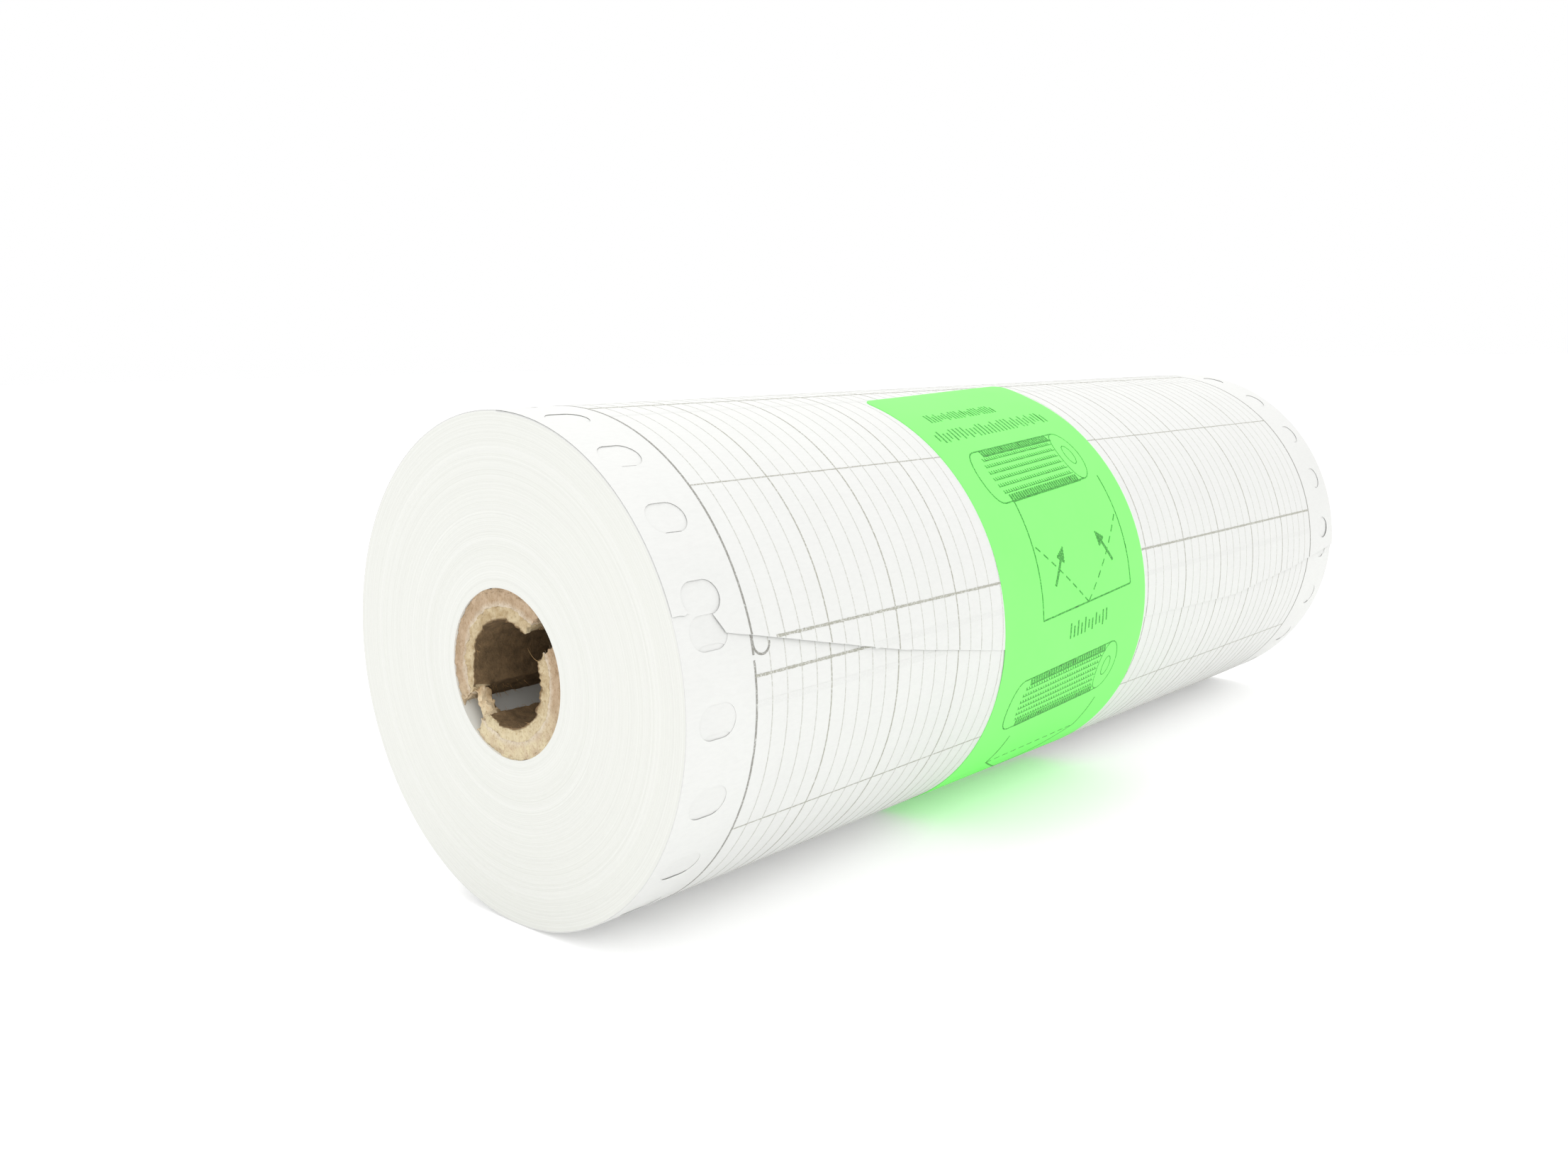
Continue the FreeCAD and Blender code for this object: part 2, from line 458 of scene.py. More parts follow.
def place(tree, scale=(1, 1, 1)):
    """Object coordinates, stretched."""
    source = tree.nodes.new("ShaderNodeTexCoord")
    mapping = tree.nodes.new("ShaderNodeMapping")
    mapping.inputs["Scale"].default_value = scale
    tree.links.new(source.outputs["Object"], mapping.inputs["Vector"])
    return mapping.outputs["Vector"]


def noise_value(tree, vector, scale, detail=4.0, roughness=0.6):
    """Noise from 0 to 1 over a vector."""
    node = tree.nodes.new("ShaderNodeTexNoise")
    node.inputs["Scale"].default_value = scale
    node.inputs["Detail"].default_value = detail
    node.inputs["Roughness"].default_value = roughness
    tree.links.new(vector, node.inputs["Vector"])
    return node.outputs["Fac"]


def ramp(tree, value, stops):
    """A colour for a value, between (value, colour) stops."""
    node = tree.nodes.new("ShaderNodeValToRGB")
    elements = node.color_ramp.elements
    while len(elements) < len(stops):
        elements.new(0.5)
    for element, (at, colour) in zip(elements, stops):
        element.position = at
        element.color = (*colour, 1)
    tree.links.new(value, node.inputs["Fac"])
    return node.outputs["Color"]


def mix(tree, kind, factor, a, b):
    """Two colours combined by a kind of blending."""
    node = tree.nodes.new("ShaderNodeMix")
    node.data_type = "RGBA"
    node.blend_type = kind
    node.inputs["Factor"].default_value = factor
    tree.links.new(a, node.inputs["A"])
    tree.links.new(b, node.inputs["B"])
    return node.outputs["Result"]


def bump(tree, surface, height, strength, distance):
    """Gives a surface small relief from a height value."""
    node = tree.nodes.new("ShaderNodeBump")
    node.inputs["Strength"].default_value = strength
    node.inputs["Distance"].default_value = distance
    tree.links.new(height, node.inputs["Height"])
    tree.links.new(node.outputs["Normal"], surface.inputs["Normal"])


def rough_range(tree, surface, value, low, high):
    """Varies a surface's roughness between two values."""
    node = tree.nodes.new("ShaderNodeMapRange")
    node.inputs["To Min"].default_value = low
    node.inputs["To Max"].default_value = high
    tree.links.new(value, node.inputs["Value"])
    tree.links.new(node.outputs["Result"], surface.inputs["Roughness"])


def paper(name, white, cloud):
    """Uncoated paper: faint cloudy fibre, a fine tooth, and a dull surface."""
    material, tree, surface = shader(name, white, 0.7)
    where = place(tree)
    fibre = noise_value(tree, place(tree, (0.35, 1, 1)), 2600, 5)
    clouds = noise_value(tree, where, 90, 3)
    dark = tuple(c * (1 - cloud) for c in white)
    colour = ramp(tree, clouds, [(0.3, dark), (0.7, white)])
    tooth = ramp(tree, fibre, [(0.25, (0.965,) * 3), (0.6, (1.0,) * 3)])
    tree.links.new(mix(tree, "MULTIPLY", 1.0, colour, tooth), surface.inputs["Base Color"])
    rough_range(tree, surface, fibre, 0.6, 0.85)
    bump(tree, surface, fibre, 0.25, 0.00002)
    return material


def ink(name, colour, ground, gaps):
    """Printing ink that lets the paper through where the print is thin."""
    material, tree, surface = shader(name, colour, 0.6)
    grain = noise_value(tree, place(tree), 5200, 3, 0.7)
    bare = tuple(c + (g - c) * 0.8 for c, g in zip(colour, ground))
    worn = ramp(tree, grain, [(gaps, bare), (gaps + 0.16, colour)])
    tree.links.new(worn, surface.inputs["Base Color"])
    rough_range(tree, surface, grain, 0.5, 0.7)
    return material


def end_grain(name):
    """The wound web's edge: off-white, with the turns as faint rings of uneven tone."""
    material, tree, surface = shader(name, (0.75, 0.76, 0.72), 0.85)
    ring = tree.nodes.new("ShaderNodeCombineXYZ")
    tree.links.new(radius_value(tree, place(tree))[0], ring.inputs["X"])
    fine = noise_value(tree, ring.outputs["Vector"], 6000, 2)
    broad = noise_value(tree, ring.outputs["Vector"], 700, 3)
    a = ramp(tree, fine, [(0.3, (0.90, 0.90, 0.885)), (0.7, (1, 1, 1))])
    b = ramp(tree, broad, [(0.3, (0.725, 0.732, 0.695)), (0.7, (0.765, 0.77, 0.74))])
    tree.links.new(mix(tree, "MULTIPLY", 1.0, b, a), surface.inputs["Base Color"])
    return material


def radius_value(tree, where):
    """The distance from the roll's axis, the height, and the distance from mid length."""
    split = tree.nodes.new("ShaderNodeSeparateXYZ")
    tree.links.new(where, split.inputs["Vector"])
    along = tree.nodes.new("ShaderNodeMath")
    along.operation = "ABSOLUTE"
    tree.links.new(split.outputs["X"], along.inputs[0])
    flat = tree.nodes.new("ShaderNodeCombineXYZ")
    tree.links.new(split.outputs["Y"], flat.inputs["Y"])
    tree.links.new(split.outputs["Z"], flat.inputs["Z"])
    length = tree.nodes.new("ShaderNodeVectorMath")
    length.operation = "LENGTH"
    tree.links.new(flat.outputs["Vector"], length.inputs[0])
    return length.outputs["Value"], split.outputs["Z"], along.outputs["Value"]


def faded(tree, value, low, high, a, b):
    """Colour a below the low value, turning to colour b at the high one."""
    span = tree.nodes.new("ShaderNodeMapRange")
    span.inputs["From Min"].default_value = low
    span.inputs["From Max"].default_value = high
    tree.links.new(value, span.inputs["Value"])
    node = tree.nodes.new("ShaderNodeMix")
    node.data_type = "RGBA"
    tree.links.new(span.outputs["Result"], node.inputs["Factor"])
    tree.links.new(a, node.inputs["A"])
    tree.links.new(b, node.inputs["B"])
    return node.outputs["Result"]


def board(name, pale, dark, bore, low_pale, glued=False):
    """Raw core board: mottled fibre with flecks, paler at its foot, and brown inside the bore, partly its
    own colour and partly painted shade, which also darkens the bore and notch walls deeper than about 2 mm
    in from the ends.
    """
    material, tree, surface = shader(name, pale, 0.95)
    where = place(tree)
    mottle = noise_value(tree, where, 700, 6, 0.7)
    flecks = noise_value(tree, place(tree, (1, 1, 0.6)), 3600, 4, 0.75)
    upper = ramp(tree, mottle, [(0.34, dark), (0.60, pale)])
    lower = ramp(tree, mottle, [(0.30, pale), (0.56, low_pale)])
    # The bore's brown, mottled down to half: the board's own brown with painted shade.
    bore_brown_and_shade = ramp(tree, mottle, [(0.34, tuple(c * 0.5 for c in bore)), (0.66, bore)])
    radius, height, along = radius_value(tree, where)
    face = faded(tree, height, -7.5 * MM, -1.5 * MM, lower, upper)
    glue = ramp(tree, mottle, [(0.3, (0.52, 0.42, 0.31)), (0.6, (0.68, 0.60, 0.48))])
    face = faded(tree, radius, GLUE_RADIUS, GLUE_RADIUS + 0.75 * MM, glue, face) if glued else face
    speck = ramp(tree, flecks, [(0.36, (0.60, 0.50, 0.38)), (0.48, (1, 1, 1))])
    face = mix(tree, "MULTIPLY", 0.6, face, speck)
    # Painted shade: the bore's wall, and all board deeper than about 2 mm in from the core's ends, turn to
    # the shaded brown.
    whole = faded(tree, radius, BORE_RADIUS + 0.08 * MM, BORE_RADIUS + 0.3 * MM, bore_brown_and_shade, face)
    whole = faded(tree, along, CORE_END - 2.2 * MM, CORE_END - 0.9 * MM, bore_brown_and_shade, whole)
    tree.links.new(whole, surface.inputs["Base Color"])
    rough_range(tree, surface, mottle, 0.85, 1.0)
    bump(tree, surface, mottle, 0.7, 0.0004)
    return material


WHITE = (0.715, 0.718, 0.700)
PAPER = paper("chart_paper", WHITE, 0.02)
# The turns under the top one: the same paper, made 1.5% darker as painted shade.
UNDER_SHADED = paper("under_paper_shaded", tuple(c * 0.985 for c in WHITE), 0.03)
GREEN_PAPER = (0.250, 0.93, 0.200)
GREEN = paper("label_green", GREEN_PAPER, 0.04)
END = end_grain("web_edge")
INK_HEAVY = ink("ink_heavy", (0.27, 0.265, 0.24), WHITE, 0.32)
INK_MEDIUM = ink("ink_medium", (0.36, 0.355, 0.30), WHITE, 0.36)
INK_LIGHT = ink("ink_light", (0.50, 0.50, 0.45), WHITE, 0.40)
INK_GHOST = ink("ink_ghost", (0.672, 0.675, 0.658), WHITE, 0.36)
INK_GREEN = ink("label_ink", (0.055, 0.29, 0.05), GREEN_PAPER, 0.33)
CREAM = (0.66, 0.57, 0.38)
LINER = board("core_liner", (0.60, 0.50, 0.33), (0.42, 0.31, 0.17), (0.25, 0.165, 0.085), CREAM)
BOARD = board("core_board", (0.51, 0.385, 0.265), (0.39, 0.28, 0.175), (0.25, 0.165, 0.085), CREAM, True)
FIBRE = board("core_fibre", (0.74, 0.60, 0.42), (0.56, 0.38, 0.20), (0.60, 0.38, 0.17), CREAM)
TAPE = paper("gummed_tape", (0.66, 0.55, 0.36), 0.1)


# ---------------------------------------------------------------- the web


def outline_between(low, high, step=2.5):
    """A strip right across the roll between two angles, with points up both its sides."""
    count = max(2, round((high - low) / step))
    rise = [low + (high - low) * i / count for i in range(count + 1)]
    return [(HALF, a) for a in rise] + [(-HALF, a) for a in reversed(rise)]


def leader_outline():
    """The leader: its cut edge is slightly wavy, and ragged where it is torn."""
    tear_end, paper_end = CUT[0][0], CUT[-1][0]
    cut = []
    for x in np.arange(tear_end, paper_end, 1.2):
        wave = 0.12 * noise.noise(Vector((x * 0.4, 0, 0)))
        cut.append((x * MM - HALF, between(CUT, x) + wave))
    torn = []
    for x in np.arange(0.0, tear_end, 0.35):
        rag = 0.5 * noise.noise(Vector((x * 2.7, 3, 0)))
        torn.append((x * MM - HALF, between(TEAR, x) + rag))
    edge = torn + cut + [(HALF, between(CUT, paper_end))]
    near, far = edge[0][1], edge[-1][1]
    down = [(HALF, a) for a in np.linspace(far, ROOT_ANGLE, 50)[1:]]
    up = [(-HALF, a) for a in np.linspace(ROOT_ANGLE, near, 40)[:-1]]
    return edge + down + up


def make_leader():
    """The leader, with the holes that its leading edge leaves whole."""
    loops = hole_loops(ROOT_ANGLE + 4, 181)
    holes = [loop for loop in loops if loop[0][1] < edge_angle(loop[0][0]) - 2]
    flat, triangles, _ = cut_sheet(leader_outline(), holes, 3.4, 1.25)
    return thick_sheet("leader_sheet", flat, triangles, leader_radius, SHEET, [PAPER])


def make_turn(name, high, material):
    """One full turn of the web, down from an angle, with its holes."""
    low = high - 360
    tuck = TUCK * round((ROOT_ANGLE - high) / 360)
    holes = hole_loops(low + 4, high - 4)
    flat, triangles, _ = cut_sheet(outline_between(low, high), holes, 5.7, 2.5)
    return thick_sheet(name, flat, triangles, lambda x, a: web_radius(a) + tuck, SHEET, [material])


def division_line(i, low, high):
    """One division line, between two angles. The first one is broken at the numeral."""
    width, weight = next(line[1:] for line in DIVISION_LINES if i % line[0] == 0)
    x = CHART_START + i * DIVISION
    count = max(2, round((high - low) / 2))
    angles = [low + (high - low) * j / count for j in range(count + 1)]
    spans = [angles]
    if i == 0 and low < NUMERAL_GAP[0] < high:
        before = [a for a in angles if a < NUMERAL_GAP[0]]
        after = [a for a in angles if a > NUMERAL_GAP[1]]
        spans = [before + [NUMERAL_GAP[0]], [NUMERAL_GAP[1]] + after]
    return [([(x, a) for a in span], width, weight) for span in spans]


def line_start(angle, high_at, margin):
    """Where a line across the chart starts, if the sheet's edge at high_at(x) cuts it short."""
    start = CHART_START
    while angle > high_at(start) - margin:
        start += 0.2 * MM
    return start


def line_across(start, angle, pieces):
    """Even points along a line to the chart's far side."""
    return [(start + (CHART_END - start) * j / pieces, angle) for j in range(pieces + 1)]


def time_line(k, high_at):
    """One line across the chart: rough dashes, with a narrower line down their middle."""
    width, dash = TIME_LINES[k % 2]
    angle = web_angle(k * TIME_LINE_PITCH)
    start = line_start(angle, high_at, 0.05)
    rough = dots([(start, angle), (CHART_END, angle)], width, dash, MEDIUM)
    return rough + [(line_across(start, angle, 60), width * 0.55, MEDIUM)]


def chart_lines(low, high_at, time_lines):
    """The printed chart between an angle and the edge at high_at(x), as strips."""
    paths = []
    for i in range(DIVISIONS + 1):
        paths += division_line(i, low, high_at(CHART_START + i * DIVISION))
    for k in time_lines:
        paths += time_line(k, high_at)
    return paths


def ghost_lines(numbers, high_at, low, high):
    """Thick lines of the turn below, showing faintly through the paper."""
    paths = []
    for k in numbers:
        angle = web_angle(k * TIME_LINE_PITCH) + 360
        if low < angle < high:
            start = line_start(angle, high_at, 0.3)
            paths.append((line_across(start, angle, 40), GHOST_WIDTH, GHOST))
    return paths


def numeral_path():
    """A plain zero, as a narrow ring."""
    x_mid = sum(NUMERAL_X) / 2
    half = (NUMERAL_X[1] - NUMERAL_X[0]) / 2
    tall = (NUMERAL_BOTTOM - NUMERAL_TOP) * ARC / 2
    corners = 32
    loop = []
    for i in range(corners + 1):
        a = 2 * math.pi * i / corners
        y = math.copysign(tall - half, math.sin(a)) + half * math.sin(a)
        loop.append((x_mid + half * math.cos(a), (NUMERAL_BOTTOM + NUMERAL_TOP) / 2 + y / ARC))
    return loop


def leader_print():
    """What is printed on the leader, and what shows through it."""
    lines = chart_lines(ROOT_ANGLE, lambda x: edge_angle(x) - 0.1, range(0, 3))
    return lines + ghost_lines([10, 12], edge_angle, 100, 185)


def turn_print():
    """What is printed on the last full turn, and what shows through it, from edge to edge."""
    lines = chart_lines(ROOT_ANGLE - 360, lambda x: ROOT_ANGLE, range(3, 13))
    lines.append((numeral_path(), NUMERAL_WIDTH, HEAVY))
    return lines + ghost_lines(range(14, 26, 2), lambda x: 400, ROOT_ANGLE - 360, ROOT_ANGLE)


def make_web():
    """The leader, the last full turn, their print, and two turns that show through the holes."""
    inks = [INK_HEAVY, INK_MEDIUM, INK_LIGHT, INK_GHOST]
    leader = make_leader()
    leader_ink = strips(leader_print(), leader_radius, "leader_chart", inks)
    turn = make_turn("outer_turn_sheet", ROOT_ANGLE, PAPER)
    turn_ink = strips(turn_print(), turn_radius, "outer_turn_chart", inks)
    second = make_turn("second_turn_sheet", ROOT_ANGLE - 360, UNDER_SHADED)
    third = make_turn("third_turn_sheet", ROOT_ANGLE - 720, UNDER_SHADED)
    for piece in (leader, leader_ink):
        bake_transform(piece)
    for piece in (turn, turn_ink, second, third):
        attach(piece, "roll")
    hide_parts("leader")
    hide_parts("outer_turn")


# How far each turn's edge stands in or out, at random.
waver = [dice.uniform(-1, 1) for _ in range(2 * TURNS)]


def edge_offset(turn):
    """How far a place on the spiral stands in from the roll's end, by its count of turns."""
    slow = noise.noise(Vector((turn * 0.045, 7.1, 0)))
    mid = noise.noise(Vector((turn * 0.31, 2.4, 0)))
    offset = 0.05 + 0.055 * slow + 0.03 * mid + 0.02 * waver[int(turn)]
    return max(offset, 0.0) * smooth((TURNS - turn) / 4) * MM


def wound_point(end, share, step):
    """A point of the wound body: which end, its share of the way out, and its step round the spiral."""
    angle = ROOT_ANGLE - 720 - 360 * step / SEGMENTS
    outer = web_radius(angle) + 2 * TUCK - SHEET
    radius = CORE_RADIUS + (outer - CORE_RADIUS) * share
    x = end * HALF
    if abs(end) == 1:
        turn = max(share * TURNS - step / SEGMENTS, 0)
        x -= end * edge_offset(turn)
    return on_roll(x, angle, radius)


def make_wound_web():
    """The inner turns as one closed body. Its ends show each turn's edge, none quite flush."""
    rise = [i / RINGS for i in range(RINGS + 1)]
    along = [-1 + i / 6 for i in range(1, 12)]
    profile = [(-1, share) for share in rise] + [(x, 1) for x in along]
    profile += [(1, share) for share in reversed(rise)] + [(-x, 0) for x in along]
    points = [wound_point(end, share, j) for end, share in profile for j in range(SEGMENTS)]
    faces = []
    for i in range(len(profile)):
        here, after = i * SEGMENTS, (i + 1) % len(profile) * SEGMENTS
        for j in range(SEGMENTS):
            k = (j + 1) % SEGMENTS
            faces.append((here + j, here + k, after + k, after + j))
    piece = new_piece("wound_web_body", points, faces, [END], sharp=60)
    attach(piece, "roll")
    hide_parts("wound_web")


# ---------------------------------------------------------------- the label


def label_place(u, v):
    """Label millimetres (across, down) to (x, angle) on the roll, with the label's slight turn."""
    across = u * MM - LABEL_WIDTH / 2
    down = v * MM - LABEL_LENGTH / 2
    x = across * math.cos(LABEL_SKEW) + down * math.sin(LABEL_SKEW)
    y = down * math.cos(LABEL_SKEW) - across * math.sin(LABEL_ROW_TILT)
    return (LABEL_LEFT + LABEL_WIDTH / 2 + x, LABEL_TOP_ANGLE + (LABEL_LENGTH / 2 + y) / ARC)


def corner_point(corner, degrees):
    """A point of one of the label's rounded corners, in label millimetres."""
    u, v, _ = corner
    a = math.radians(degrees)
    return (u + LABEL_CORNER / MM * math.cos(a), v + LABEL_CORNER / MM * math.sin(a))


def label_outline():
    """The label's outline: four rounded corners, and points along the sides between them."""
    w, h, r = LABEL_WIDTH / MM, LABEL_LENGTH / MM, LABEL_CORNER / MM
    corners = [(w - r, h - r, 0), (r, h - r, 90), (r, r, 180), (w - r, r, 270)]
    loop = []
    for corner, after in zip(corners, corners[1:] + corners[:1]):
        loop += [corner_point(corner, corner[2] + 90 * i / 8) for i in range(9)]
        end, begin = loop[-1], corner_point(after, after[2])
        steps = int(math.dist(end, begin) / 1.4)
        for i in range(1, steps):
            t = i / steps
            loop.append((end[0] + (begin[0] - end[0]) * t, end[1] + (begin[1] - end[1]) * t))
    return [label_place(u, v) for u, v in loop]


def oval(u, v, across, tall, angles):
    """Points of an oval, or of a part of one."""
    return [(u + across * math.cos(a), v + tall * math.sin(a)) for a in angles]


def hatching(left, right, v, height, squash):
    """Rows of short ticks along a drawn roll, heaviest in its first row and its last."""
    r = height / 2
    rows, pitch = 8, 0.62
    strokes = []
    for i in range(rows):
        y = v + 0.5 + (height - 1.0) * i / (rows - 1)
        bulge = squash * (1 - math.sqrt(max(0, 1 - ((y - v - r) / r) ** 2)))
        heavy = i in (0, rows - 1)
        tall = 0.55 if heavy else 0.22
        for j in range(int((right - left) / pitch)):
            x = left + bulge + pitch * j
            strokes.append(([(x, y - tall), (x + 0.25, y + tall)], 0.42 if heavy else 0.2))
        strokes.append(([(left + bulge, y + tall), (right + bulge, y + tall)], 0.3 if heavy else 0.12))
    return strokes


def roll_drawing(u, v, width, height):
    """A small drawing of a roll on its side: round ends, and a body hatched darkest at top and foot."""
    r = height / 2
    squash = 0.62 * r
    left, right, middle = u + squash, u + width - squash, v + r
    end = oval(right, middle, squash, r, np.linspace(0, 2 * math.pi, 25))
    side = oval(left, middle, -squash, r, np.linspace(-math.pi / 2, math.pi / 2, 13))
    hub = oval(right, middle, 0.25 * r, 0.4 * r, np.linspace(0, 2 * math.pi, 13))
    strokes = [(end, 0.15), (side, 0.2), (hub, 0.14)]
    strokes.append(([(left, v), (right, v)], 0.2))
    strokes.append(([(left, v + height), (right, v + height)], 0.2))
    return strokes + hatching(u + squash * 1.1, u + width - squash * 2.1, v, height, squash)


def arrow(tail, head):
    """A straight arrow: its shaft, and a head filled with five strokes."""
    (u0, v0), (u1, v1) = tail, head
    way = np.array([u1 - u0, v1 - v0])
    way /= np.linalg.norm(way)
    side = np.array([-way[1], way[0]])
    tip = np.array(head)
    strokes = [([tail, tuple(tip - way * 1.2)], 0.5)]
    for i in range(5):
        back = tip - way * (0.35 + 0.42 * i)
        half = 0.16 + 0.2 * i
        strokes.append(([tuple(back - side * half), tuple(back + side * half)], 0.46))
    return strokes


def dashed(a, b, width=0.22):
    """A dashed line, with dashes and gaps about a millimetre long."""
    steps = int(math.dist(a, b) / 1.0)
    strokes = []
    for i in range(0, steps, 2):
        ends = [tuple(a[j] + (b[j] - a[j]) * t / steps for j in (0, 1)) for t in (i, i + 1.2)]
        strokes.append((ends, width))
    return strokes


def word_bar(u, v, width, height):
    """A row of plain ticks where the label has a word."""
    strokes = []
    count = max(6, int(width / (height * 0.42)))
    for i in range(count):
        x = u + width * (i + 0.5) / count
        top = v + height * dice.choice((0.0, 0.0, 0.25))
        strokes.append(([(x, top), (x, v + height * dice.choice((0.8, 1.0, 1.0)))], 0.34))
    return strokes


def label_drawing():
    """The label's print: rows of ticks, and drawings of a roll, a folded sheet, a roll and a pointed sheet.

    Places are in millimetres from the label's top left corner: across, then down.
    """
    strokes = word_bar(5.6, 6.6, 18.5, 1.9) + word_bar(2.6, 10.4, 31, 2.4)
    strokes += roll_drawing(4.7, 15.4, 28, 8.6)
    left, right, top, bottom = 9.3, 33.6, 24.2, 41.3
    fold = (21.4, bottom)
    strokes.append(([(left, top), (left, bottom), (right, bottom), (right, top)], 0.24))
    strokes += dashed(fold, (left, 30.5)) + dashed(fold, (right, 30.0))
    strokes += arrow((13.0, 37.2), (16.6, 32.2)) + arrow((29.2, 36.8), (26.0, 31.8))
    strokes += word_bar(16.2, 43.4, 10.8, 2.3)
    strokes += roll_drawing(4.0, 49.4, 28, 8.2)
    left, right, top, shoulder, point = 9.0, 31.0, 60.0, 66.5, (20.0, 75.0)
    strokes.append(([(left, top), (left, shoulder), point, (right, shoulder), (right, top)], 0.24))
    strokes += dashed((left, shoulder), (right, shoulder))
    return strokes


def label_paths():
    """The label's strokes cut into short strips on the roll, so that they bend with the label."""
    paths = []
    for stroke, width in label_drawing():
        for a, b in zip(stroke, stroke[1:]):
            steps = max(1, math.ceil(math.dist(a, b) / 1.0))
            for i in range(steps):
                t0, t1 = i / steps, (i + 1) / steps
                ends = [(a[0] + (b[0] - a[0]) * t, a[1] + (b[1] - a[1]) * t) for t in (t0, t1)]
                paths.append(([label_place(*p) for p in ends], width * MM, HEAVY))
    return paths


def make_label():
    """The label and its print, each in two pieces that meet at the seam."""
    flat, triangles, angles = cut_sheet(label_outline(), [], 2.0, 1.25, seam=LABEL_SEAM_ANGLE)
    halves = triangles[angles < LABEL_SEAM_ANGLE], triangles[angles >= LABEL_SEAM_ANGLE]
    upper, lower = (
        thick_sheet(name, flat, half, label_radius, LABEL_THICKNESS, [GREEN])
        for name, half in zip(("label_upper", "label_lower"), halves)
    )
    paths = label_paths()
    above = [path for path in paths if max(a for _, a in path[0]) < LABEL_SEAM_ANGLE]
    below = [path for path in paths if max(a for _, a in path[0]) >= LABEL_SEAM_ANGLE]
    upper_ink = strips(above, label_radius, "label_upper_print", [INK_GREEN])
    lower_ink = strips(below, label_radius, "label_lower_print", [INK_GREEN])
    for piece in (upper, upper_ink):
        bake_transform(piece)
    for piece in (lower, lower_ink):
        on_roll(0, LABEL_BEND[0], ROLL_RADIUS)
        on_roll(0, LABEL_BEND[1], ROLL_RADIUS)
        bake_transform(piece)
    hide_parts("label_head")
    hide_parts("label_tail")


# ---------------------------------------------------------------- the core


def fray(co, burr):
    """Roughens a point of board, most at the core's ends and along its notches."""
    p = Vector(co) / MM
    coarse = noise.noise_vector(p * 0.8)
    fine = noise.noise_vector(p * 2.6 + Vector((0, 7, 0)))
    at_end = smooth((abs(p.x) - CORE_END / MM + 1.2) / 1.2)
    aside = abs(p.dot(notch_normal())) - NOTCH_WIDTH / MM / 2
    at_notch = smooth(1 - aside / 0.9) * smooth(abs(p.x) - NOTCH_FLOOR / MM)
    moved = p + (coarse * 0.12 + fine * 0.08) * (0.1 + at_end + at_notch)
    lumps = noise.noise(p * 0.9 + Vector((3, 0, 5))) + 0.5 * noise.noise(p * 2.2)
    moved.x += math.copysign(0.22 + lumps * burr, p.x) * at_end
    way = math.copysign(1, p.dot(notch_normal()))
    ragged = max(0.0, noise.noise(p * 1.4 + Vector((9, 2, 0)))) * 0.9 * at_notch * at_end
    return (moved - notch_normal() * way * ragged) * MM


def block(points, faces, place_at, counts):
    """The six gridded faces of a box bent by place_at(u, v, w), each from 0 to 1."""
    for axis in range(3):
        across, up = [i for i in range(3) if i != axis]
        nu, nv = counts[across], counts[up]
        for side in (0, 1):
            base = len(points)
            for i in range(nu + 1):
                for j in range(nv + 1):
                    at = [0.0, 0.0, 0.0]
                    at[axis], at[across], at[up] = side, i / nu, j / nv
                    points.append(place_at(*at))
            for i in range(nu):
                for j in range(nv):
                    a = base + i * (nv + 1) + j
                    faces.append((a, a + 1, a + nv + 2, a + nv + 1))


def plain_tube(points, faces, inner, outer):
    """The part of a ply between its notched ends."""

    def place_at(u, v, w):
        radius = inner + (outer - inner) * v
        return Vector(on_roll(-NOTCH_FLOOR + 2 * NOTCH_FLOOR * u, NOTCH_ANGLE + 360 * w, radius))

    block(points, faces, place_at, (24, 1, 120))


def half_ring(points, faces, inner, outer, end, start, burr):
    """Half of one end of a ply, left standing by the notches, with its points closer near the end."""

    def place_at(u, v, w):
        radius = inner + (outer - inner) * v
        gap = math.degrees(math.asin(NOTCH_WIDTH / 2 / radius))
        angle = start + gap + (180 - 2 * gap) * w
        x = end * (NOTCH_FLOOR - 0.1 * MM + (NOTCH_DEPTH + 0.1 * MM) * (1 - (1 - u) ** 2.2))
        return fray(on_roll(x, angle, radius), burr)

    layers = max(2, round((outer - inner) / (0.22 * MM)))
    block(points, faces, place_at, (34, layers, 130))


def make_ply(name, node, material, inner, burr):
    """One core ply: a plain tube, and at each end two half rings left standing by the notches."""
    outer = -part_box(node)[0].z
    points, faces = [], []
    plain_tube(points, faces, inner, outer)
    for end in (-1, 1):
        for start in (NOTCH_ANGLE, NOTCH_ANGLE + 180):
            half_ring(points, faces, inner, outer, end, start, burr)
    piece = new_piece(name, points, faces, [material], sharp=75)
    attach(piece, "roll")
    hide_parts(node)


def tube(points, faces, path, radii, sides):
    """A closed tube along a path, for a hair or a twist of board."""
    faces += tube_faces(len(points), sides, len(path))
    last = len(path) - 1
    across = Vector((1, 0.2, 0))
    for i, p in enumerate(path):
        way = (path[min(i + 1, last)] - path[max(i - 1, 0)]).normalized()
        side = (across - way * way.dot(across)).normalized()
        other = way.cross(side)
        for j in range(sides):
            a = 2 * math.pi * j / sides
            points.append(p + (side * math.cos(a) + other * math.sin(a)) * radii[i])


def notch_direction():
    """The way the notches run, out from the axis."""
    return Vector(on_roll(0, NOTCH_ANGLE, 1))


def notch_normal():
    """The way across the notches."""
    return Vector(on_roll(0, NOTCH_ANGLE + 90, 1))


def lip_fibre_root(end):
    """A place on the bore's lip and the way a fibre leaves it."""
    angle = dice.uniform(0, 360)
    radius = dice.triangular(BORE_RADIUS, CORE_RADIUS, BORE_RADIUS + 0.3 * MM)
    root = Vector(on_roll(end * (CORE_END - dice.uniform(0, 0.3) * MM), angle, radius))
    inward = Vector((0, -root.y, -root.z)).normalized()
    return root, inward * dice.uniform(0.3, 1) + Vector((end, 0, 0)) * dice.uniform(0, 0.7)


